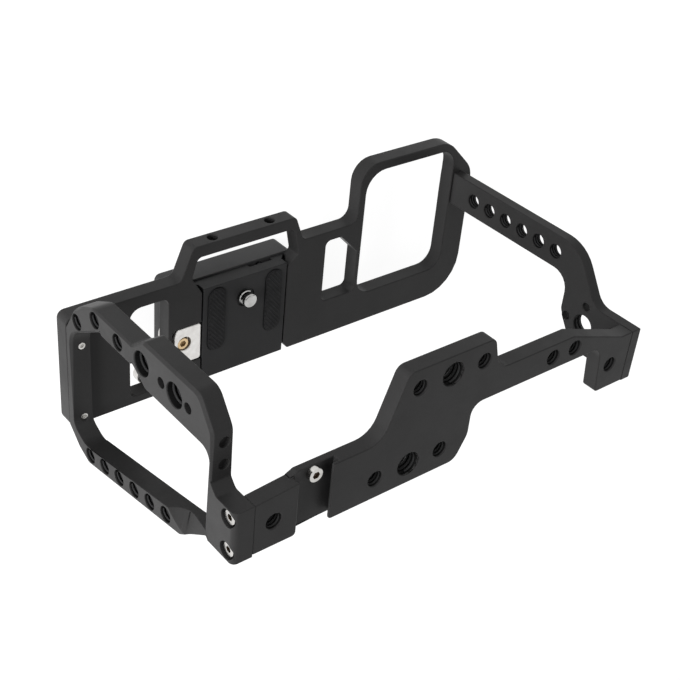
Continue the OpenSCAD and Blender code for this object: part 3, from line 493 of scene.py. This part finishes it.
# %% Plates, clamp, lock and pads
# The columns are the node, its finish, its broken edge in mm, the steps across that edge, and
# the colour of its tapped bores, which is painted shade except in the bushing.
TWINS = [
    ("base_plate", BLACK_PLATE, 0.45, 2, None),
    ("top_plate", BLACK_PLATE, 0.45, 2, BORE_PAINTED_SHADE),
    ("grip_arm", BLACK_PLATE, 0.45, 2, BORE_PAINTED_SHADE),
    ("side_plate", BLACK_PLATE, 0.22, 2, BORE_PAINTED_SHADE),
    ("clamp_body", BLACK_CLAMP, 0.3, 2, BORE_PAINTED_SHADE),
    ("camera_plate", BLACK_SLIDE, 0.25, 2, None),
    ("lock_jaw", BLASTED_STEEL, 0.45, 3, None),
    ("lock_lever", BLASTED_STEEL, 0.4, 3, None),
    ("lever_washer", POLISHED_STEEL, 0, 2, None),
    ("thread_bushing", POLISHED_STEEL, 0.12, 2, POLISHED_STEEL),
    ("stop_pin", BLACK_OXIDE, 0.15, 2, None),
    ("left_grip_pad", PAD_RUBBER, 0.1, 2, None),
    ("right_grip_pad", PAD_RUBBER, 0.1, 2, None),
]
for node, finish, edge_mm, segments, bore_paint in TWINS:
    piece = twin(node, finish, edge_mm, segments, **ROUNDED.get(node, {}))
    if bore_paint:
        open_bores(piece, bore_paint)

# %% [markdown]
# ## Ribbed pads
# Two rubber strips keep the camera from turning on the plate. Their tops are moulded in slanted
# ribs, which is cheaper than a diamond pattern and grips well. Each rib's ends are worked out
# where a slanted line leaves the strip's rounded outline, and a Geometry Nodes tree
# sweeps a low half round along every line.


# %% The rib tree
def tree_with_inputs(name, floats, whole=()):
    tree = bpy.data.node_groups.new(name, "GeometryNodeTree")
    sockets = [("Geometry", "Geometry"), *((label, "Float") for label in floats),
               *((label, "Int") for label in whole), ("Finish", "Material")]
    for label, kind in sockets:
        tree.interface.new_socket(label, in_out="INPUT", socket_type="NodeSocket" + kind)
    tree.interface.new_socket("Geometry", in_out="OUTPUT", socket_type="NodeSocketGeometry")
    return tree, tree.nodes.new("NodeGroupInput").outputs


def end_tree(tree, geometry, finish):
    real = new_node(tree, "GeometryNodeRealizeInstances", {"Geometry": geometry})
    done = new_node(tree, "GeometryNodeSetMaterial", {
        "Geometry": real.outputs[0], "Material": finish})
    result = tree.nodes.new("NodeGroupOutput")
    tree.links.new(done.outputs[0], result.inputs["Geometry"])


def rib_tree():
    tree, given = tree_with_inputs("swept_ribs", ("Half Width", "Height"))
    lines = new_node(tree, "GeometryNodeMeshToCurve", {"Mesh": given["Geometry"]})
    upright = new_node(tree, "GeometryNodeSetCurveNormal", {"Curve": lines.outputs[0]}, mode="Z_UP")
    ring = new_node(tree, "GeometryNodeCurvePrimitiveCircle", {"Resolution": 8, "Radius": 1.0})
    size = new_node(tree, "ShaderNodeCombineXYZ", {
        "X": given["Half Width"], "Y": given["Height"], "Z": 1.0})
    flat = new_node(tree, "GeometryNodeTransform", {
        "Geometry": ring.outputs[0], "Scale": size.outputs[0]})
    swept = new_node(tree, "GeometryNodeCurveToMesh", {
        "Curve": upright.outputs[0], "Profile Curve": flat.outputs[0], "Fill Caps": True})
    end_tree(tree, swept.outputs[0], given["Finish"])
    return tree


RIB_TREE = rib_tree()
print("rib tree nodes:", len(RIB_TREE.nodes))


# %% Lines inside a rounded strip
RIB_WAY = Vector((0.645, -0.765))
RIB_PITCH = 1.35 * MM
RIBS_EACH_SIDE = 24
STEP_MM, STEPS_EACH_WAY = 0.05, 500
SHORTEST_RIB = 1.0 * MM


def inside_strip(point, low, high, rim):
    radius = (high[0] - low[0]) / 2 - rim
    middle_x = (low[0] + high[0]) / 2
    y = min(max(point.y, low[1] + rim + radius), high[1] - rim - radius)
    return (point - Vector((middle_x, y))).length <= radius


def rib_lines(low, high, rim):
    middle = Vector(((low[0] + high[0]) / 2, (low[1] + high[1]) / 2))
    across = Vector((-RIB_WAY.y, RIB_WAY.x))
    lines = []
    for k in range(-RIBS_EACH_SIDE, RIBS_EACH_SIDE + 1):
        start = middle + across * RIB_PITCH * k
        ticks = range(-STEPS_EACH_WAY, STEPS_EACH_WAY + 1)
        steps = [start + RIB_WAY * (tick * STEP_MM * MM) for tick in ticks]
        held = [spot for spot in steps if inside_strip(spot, low, high, rim)]
        if held and (held[-1] - held[0]).length > SHORTEST_RIB:
            lines.append((held[0], held[-1]))
    return lines


# %% From a tree to a plain mesh
CREST_DEG = 48


def tree_result(name, mesh, tree, label, values):
    helper = placed(name + "_helper", mesh)
    sweep = helper.modifiers.new(label, "NODES")
    sweep.node_group = tree
    inputs = [item for item in tree.interface.items_tree if item.in_out == "INPUT"]
    key = {item.name: item.identifier for item in inputs}
    for title, value in values.items():
        sweep[key[title]] = value
    helper.update_tag()
    depth = bpy.context.evaluated_depsgraph_get()
    depth.update()
    made = bpy.data.meshes.new_from_object(helper.evaluated_get(depth))
    bpy.data.objects.remove(helper, do_unlink=True)
    return made


def merged(name, meshes, finish):
    shape = bmesh.new()
    for mesh in meshes:
        shape.from_mesh(mesh)
    bmesh.ops.recalc_face_normals(shape, faces=shape.faces)
    for face in shape.faces:
        face.smooth, face.material_index = True, 0
    mark_sharp(shape, CREST_DEG)
    mesh = bpy.data.meshes.new(name)
    shape.to_mesh(mesh)
    shape.free()
    mesh.materials.append(finish)
    return placed(name, mesh)


# %% Ribs on both pads
PAD_RIM = 0.5 * MM
RIB_SIZES = {"Half Width": 0.36 * MM, "Height": 0.2 * MM, "Finish": PAD_RUBBER}
for pad in ("left_grip_pad", "right_grip_pad"):
    low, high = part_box(pad)
    lines = rib_lines(low, high, PAD_RIM)
    mesh = bpy.data.meshes.new(pad + "_lines")
    mesh.from_pydata([(p.x, p.y, high[2]) for line in lines for p in line],
                     [(2 * i, 2 * i + 1) for i in range(len(lines))], [])
    swept = tree_result(pad, mesh, RIB_TREE, "swept ribs", RIB_SIZES)
    ribs = merged(pad + "_ribs", [swept], PAD_RUBBER)
    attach(ribs, BODY_OF[pad])
    print(ribs.name, "ribs:", len(lines))

# %% [markdown]
# ## Screws with dark sockets
# Each screw is turned from bar, and its hexagon socket is broached. The socket is a deep narrow
# recess that lies in shade, so it looks dark in a bright head, and that shade is painted onto its
# walls as a dark colour. The head's shape is in the CAD solid. Here the faces inside the hexagon
# are found by their distance from the screw's own axis and get the painted shade.


# %% Islands and their axes
def islands(shape):
    left = set(shape.verts)
    while left:
        group, waiting = set(), [next(iter(left))]
        while waiting:
            vert = waiting.pop()
            if vert in group:
                continue
            group.add(vert)
            waiting.extend(e.other_vert(vert) for e in vert.link_edges)
        left -= group
        yield group


def paint_sockets(mesh, axis, reach_mm):
    shape = bmesh.new()
    shape.from_mesh(mesh)
    painted = 0
    for group in islands(shape):
        low = Vector([min(v.co[i] for v in group) for i in range(3)])
        high = Vector([max(v.co[i] for v in group) for i in range(3)])
        middle = (low + high) / 2
        for face in {f for v in group for f in v.link_faces}:
            if all((v.co - middle).cross(axis).length < reach_mm * MM for v in face.verts):
                face.material_index = 1
                painted += 1
    shape.to_mesh(mesh)
    shape.free()
    return painted


# %% The screws
# The columns are the node, its finish, the screw's axis, the reach of its socket from the axis
# in mm, and the socket's painted shade. The two small flange screws show no socket at this size.
SCREW_EDGE_MM = 0.16
ALONG_X, ALONG_Z = (1, 0, 0), (0, 0, 1)
SCREWS = [
    ("side_top_screws", POLISHED_STEEL, ALONG_X, 1.32, SOCKET_PAINTED_SHADE),
    ("clamp_screws", POLISHED_STEEL, ALONG_Z, 1.2, SOCKET_PAINTED_SHADE),
    ("side_base_screws", POLISHED_STEEL, ALONG_Z, None, SOCKET_PAINTED_SHADE),
    ("seat_screw", POLISHED_STEEL, ALONG_Z, 1.47, SOCKET_PAINTED_SHADE),
    ("arm_base_screws", BLACK_OXIDE, ALONG_Z, 1.32, SOCKET_PAINTED_SHADE),
    ("arm_end_screws", BLACK_OXIDE, ALONG_X, 1.32, SOCKET_PAINTED_SHADE),
    ("lever_screw", TURNED_BRASS, ALONG_Z, 1.45, BRASS_SOCKET_PAINTED_SHADE),
]
for node, finish, axis, reach_mm, socket_shade in SCREWS:
    screw = twin(node, finish, SCREW_EDGE_MM)
    screw.data.materials.append(socket_shade)
    # The socket faces take material 1, the painted shade.
    if reach_mm:
        print(node, "socket faces:", paint_sockets(screw.data, Vector(axis), reach_mm))

# %% [markdown]
# ## Threads
# A tapped hole is a spiral groove with a sharp crest between its turns. In the photograph it
# shows as dark rings with a thin light crest. The bores are open to the outer diameter by now,
# so a Geometry Nodes tree sweeps the crest: a spiral curve, a small diamond along it, one copy
# at each hole, turned to the hole's own axis.

# %% The thread tree
CREST_WIDTH_SHARE = 0.3


def thread_tree():
    sizes = ("Core Radius", "Pitch", "Length", "Crest Height")
    tree, given = tree_with_inputs("swept_thread", sizes, ("Steps Per Turn",))

    def calc(kind, a, b):
        return new_node(tree, "ShaderNodeMath", {0: a, 1: b}, operation=kind).outputs[0]

    spiral = new_node(tree, "GeometryNodeCurveSpiral", {
        "Resolution": given["Steps Per Turn"],
        "Rotations": calc("DIVIDE", given["Length"], given["Pitch"]),
        "Start Radius": given["Core Radius"], "End Radius": given["Core Radius"],
        "Height": given["Length"]})
    lift = new_node(tree, "ShaderNodeCombineXYZ", {"Z": calc("MULTIPLY", given["Length"], -0.5)})
    centred = new_node(tree, "GeometryNodeTransform", {
        "Geometry": spiral.outputs[0], "Translation": lift.outputs[0]})
    upright = new_node(tree, "GeometryNodeSetCurveNormal", {
        "Curve": centred.outputs[0]}, mode="Z_UP")
    diamond = new_node(tree, "GeometryNodeCurvePrimitiveCircle", {"Resolution": 4, "Radius": 1.0})
    half_width = calc("MULTIPLY", given["Pitch"], CREST_WIDTH_SHARE)
    size = new_node(tree, "ShaderNodeCombineXYZ", {
        "X": given["Crest Height"], "Y": half_width, "Z": 1.0})
    crest = new_node(tree, "GeometryNodeTransform", {
        "Geometry": diamond.outputs[0], "Scale": size.outputs[0]})
    swept = new_node(tree, "GeometryNodeCurveToMesh", {
        "Curve": upright.outputs[0], "Profile Curve": crest.outputs[0], "Fill Caps": True})
    way = new_node(tree, "GeometryNodeInputNamedAttribute", {"Name": "hole_axis"},
                   data_type="FLOAT_VECTOR")
    turn = new_node(tree, "FunctionNodeAlignRotationToVector", {
        "Vector": way.outputs["Attribute"]}, axis="Z")
    copies = new_node(tree, "GeometryNodeInstanceOnPoints", {
        "Points": given["Geometry"], "Instance": swept.outputs[0], "Rotation": turn.outputs[0]})
    end_tree(tree, copies.outputs[0], given["Finish"])
    return tree


THREAD_TREE = thread_tree()
print("thread tree nodes:", len(THREAD_TREE.nodes))


# %% One mesh of swept threads
def swept_mesh(name, holes, values, finish):
    seeds = bpy.data.meshes.new(name + "_seeds")
    seeds.from_pydata([tuple(h["at"]) for h in holes], [], [])
    way = seeds.attributes.new("hole_axis", "FLOAT_VECTOR", "POINT")
    for spot, hole in zip(way.data, holes):
        spot.vector = hole["axis"]
    return tree_result(name, seeds, THREAD_TREE, "swept thread", {**values, "Finish": finish})


# %% Threads in the plates
# The crest reaches a little past the bore's wall, so no gap shows between them. It stops short
# of the chamfer at each mouth.
CREST_SHARE = 0.51
RUN_OUT_TURNS = 0.6
MOUTH_CHAMFER = 0.35 * MM
HOLE_STEPS = 32


def threads_for(name, holes, finish, body, slot):
    parts = []
    for r, length in sorted({(h["r"], h["length"]) for h in holes}):
        same = [h for h in holes if (h["r"], h["length"]) == (r, length)]
        pitch, crest = thread_pitch(r), thread_depth(r) * CREST_SHARE
        parts.append(swept_mesh(name, same, {
            "Core Radius": r + crest, "Pitch": pitch,
            "Length": length - pitch * RUN_OUT_TURNS - MOUTH_CHAMFER,
            "Crest Height": crest, "Steps Per Turn": HOLE_STEPS}, finish))
    piece = merged(name, parts, finish)
    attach(piece, body)
    print(name, "holes:", len(holes), "faces:", len(piece.data.polygons))


PLATE_HOLES = [h for h in HOLES if h["name"].split("_")[0] in ("top", "side", "arm")]
FOOT_HOLES = [h for h in HOLES if h["name"].startswith("foot")]
threads_for("plate_threads", PLATE_HOLES, BLACK_THREAD_PAINTED_SHADE,
            BODY_OF["side_plate"], SLOT_OF["side_plate"])
threads_for("foot_threads", FOOT_HOLES, BLACK_THREAD_PAINTED_SHADE,
            BODY_OF["clamp_body"], SLOT_OF["clamp_body"])
threads_for("bushing_thread", [tripod], POLISHED_STEEL,
            BODY_OF["thread_bushing"], SLOT_OF["thread_bushing"])

# %% [markdown]
# ## The camera screw
# The screw that holds the camera is chromed, with a few turns of 1/4 inch thread over a thinner
# core and a rounded tip. The CAD solid has a plain cylinder there. The twin keeps its
# head, slot and neck, takes its threaded length down to the core, rounds the tip, and
# the thread tree sweeps the turns round it.

# %% Turned core and tip
STUD = mounts["camera_stud"]
STUD_R = STUD["dims"]["r_mm"] * MM
STUD_AXIS = Vector(STUD["pos_m"])
CORE_R = STUD_R * 0.90
STUD_WALL_R = STUD_R * 0.97
STUD_REACH = 6 * MM
STUD_SMOOTH_DEG = 40
# Each row is a height below the tip in mm, and the radius there as a share of the thread's.
TIP = [(2.10, 0.91), (1.95, 0.955), (1.60, 0.985), (0.85, 0.985),
       (0.50, 0.965), (0.25, 0.925), (0.08, 0.87), (0.0, 0.79)]
TIP_SLACK = 0.02


def tip_share(down):
    if down >= TIP[0][0] + TIP_SLACK:
        return TIP[0][1]
    return next((share for height, share in TIP if down > height - TIP_SLACK), TIP[-1][1])


def turn_down_stud(mesh):
    shape = bmesh.new()
    shape.from_mesh(mesh)
    top = max(v.co.z for v in shape.verts)
    low = min(v.co.z for v in shape.verts
              if (v.co - STUD_AXIS).to_2d().length > STUD_WALL_R and v.co.z > top - STUD_REACH)
    for down, _ in TIP[:-1]:
        bmesh.ops.bisect_plane(shape, geom=shape.verts[:] + shape.edges[:] + shape.faces[:],
                               plane_co=(0, 0, top - down * MM), plane_no=(0, 0, 1))
    for vert in shape.verts:
        out = (vert.co - STUD_AXIS).to_2d()
        if vert.co.z < low - 0.01 * MM or out.length < STUD_WALL_R:
            continue
        flat = out.normalized() * STUD_R * tip_share((top - vert.co.z) / MM)
        vert.co.x, vert.co.y = STUD_AXIS.x + flat.x, STUD_AXIS.y + flat.y
    mark_sharp(shape, STUD_SMOOTH_DEG)
    shape.to_mesh(mesh)
    shape.free()
    return low, top


# %% The chromed screw and its turns
TURNS_ABOVE_NECK = 0.3 * MM
TURNS_BELOW_TIP = (TIP[0][0] + 0.55) * MM
CREST_RISE = (STUD_R - CORE_R) * 0.9
STUD_STEPS = 48
camera_screw = twin("camera_screw", CHROMED_STEEL, 0.12)
stud_low, stud_top = turn_down_stud(camera_screw.data)
stud_turns = stud_top - stud_low - TURNS_BELOW_TIP
stud_middle = Vector((STUD_AXIS.x, STUD_AXIS.y, stud_low + TURNS_ABOVE_NECK + stud_turns / 2))
stud_mesh = swept_mesh("camera_screw_thread", [{"at": stud_middle, "axis": Vector(ALONG_Z)}], {
    "Core Radius": CORE_R, "Pitch": QUARTER_INCH_PITCH * MM, "Length": stud_turns,
    "Crest Height": CREST_RISE, "Steps Per Turn": STUD_STEPS}, CHROMED_STEEL)
stud_thread = merged("camera_screw_thread", [stud_mesh], CHROMED_STEEL)
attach(stud_thread, BODY_OF["camera_screw"])
print("stud radius", round(STUD_R / MM, 3), "mm, turns from", round(stud_low / MM, 2), "to",
      round(stud_top / MM, 2), "mm")

# %% [markdown]
# ## Camera
# The photograph looks down on the cage from the lens side and over its left end, with the
# camera rolled so that the cage's lens side is up in the picture. A level camera could be aimed
# at a point, but this roll has no simple angle. So the camera's place, its line of sight and its
# up direction are set here from how the plates' edges run in the photograph.

# %% Camera
CAMERA_AT = Vector((-0.253403, 0.292592, 0.364407))
CAMERA_LOOKS = Vector((0.549382, -0.55909, -0.620966)).normalized()
CAMERA_UP = Vector((0.293621, 0.824942, -0.482967)).normalized()
CAMERA_RIGHT = CAMERA_LOOKS.cross(CAMERA_UP).normalized()
lens = bpy.data.cameras.new("studio_camera")
lens.lens = 66.4973
lens.sensor_width = 36.0
lens.clip_start = 0.01
camera = placed("studio_camera", lens)
true_up = CAMERA_RIGHT.cross(CAMERA_LOOKS)
turn = Matrix((CAMERA_RIGHT, true_up, -CAMERA_LOOKS)).transposed()
camera.matrix_world = Matrix.Translation(CAMERA_AT) @ turn.to_4x4()
bpy.context.scene.camera = camera
print("camera looks", tuple(round(v, 3) for v in CAMERA_LOOKS))


# %% [markdown]
# ## A white studio that keeps black metal black
# In a product photograph the paper is white while a black part on it stays dark, because the
# paper is lit by lamps of its own. One strong world light would turn both pale. So the world
# and the floor are white where the camera or a reflection looks at them, and give the object
# only a soft share of that light. The floor's own colour is matt, so it keeps the shadow. Two
# large soft lamps stand on the left and in front, where the light of the photograph falls from.
# They light the cage but aren't mirrored in it, or a flat plate seen at a low angle against a
# lamp would glare as white as the paper.

# %% Floor
AMBIENT = 0.33
FLOOR_OWN = 0.30
FLOOR_GLOW = 0.9
FLOOR_HALF = 4.0


def white_where_seen(tree):
    path = new_node(tree, "ShaderNodeLightPath").outputs
    shiny = new_node(tree, "ShaderNodeMath", {
        0: path["Is Glossy Ray"], 1: path["Is Transmission Ray"]}, operation="MAXIMUM")
    return new_node(tree, "ShaderNodeMath", {
        0: path["Is Camera Ray"], 1: shiny.outputs[0]}, operation="MAXIMUM").outputs[0]


def studio_white(name, tone, glow):
    mat = bpy.data.materials.new(name)
    mat.use_nodes = True
    tree = mat.node_tree
    shader = tree.nodes["Principled BSDF"]
    shader.inputs["Base Color"].default_value = (tone, tone, tone, 1)
    shader.inputs["Roughness"].default_value = 0.9
    shader.inputs["Specular IOR Level"].default_value = 0.0
    shader.inputs["Emission Color"].default_value = (1, 1, 1, 1)
    strength = new_node(tree, "ShaderNodeMath", {0: white_where_seen(tree), 1: glow},
                        operation="MULTIPLY")
    link_value(tree, shader, "Emission Strength", strength.outputs[0])
    return mat


floor_mesh = bpy.data.meshes.new("floor")
corners = [(FLOOR_HALF * x, FLOOR_HALF * y, 0) for x, y in ((-1, -1), (1, -1), (1, 1), (-1, 1))]
floor_mesh.from_pydata(corners, [], [(0, 1, 2, 3)])
floor_mesh.materials.append(studio_white("floor_white", FLOOR_OWN, FLOOR_GLOW))
floor = placed("floor", floor_mesh)
print("floor tone", FLOOR_OWN, "glow", FLOOR_GLOW)

# %% World and lamps
world = bpy.data.worlds.new("studio")
world.use_nodes = True
bpy.context.scene.world = world
sky_tree = world.node_tree
sky = sky_tree.nodes["Background"]
sky.inputs["Color"].default_value = (1, 1, 1, 1)
sky_strength = new_node(sky_tree, "ShaderNodeMapRange", {
    "Value": white_where_seen(sky_tree), "To Min": AMBIENT, "To Max": 1.0})
link_value(sky_tree, sky, "Strength", sky_strength.outputs["Result"])
print("ambient share", AMBIENT)


def soft_lamp(name, place, aim, size, power):
    light = bpy.data.lights.new(name, "AREA")
    light.size = size
    light.energy = power
    lamp = placed(name, light)
    lamp.location = place
    lamp.visible_glossy = False
    lamp.rotation_euler = (Vector(aim) - Vector(place)).to_track_quat("-Z", "Y").to_euler()
    print(name, "is", size, "m wide, with", power, "W")


soft_lamp("left_lamp", (-0.8, 0.14, 0.2), (0, 0, 0.06), 0.55, 16.0)
soft_lamp("front_lamp", (-0.3, 1.4, 0.5), (0, 0, 0.05), 0.9, 6.0)
bpy.context.scene.view_settings.view_transform = "Standard"
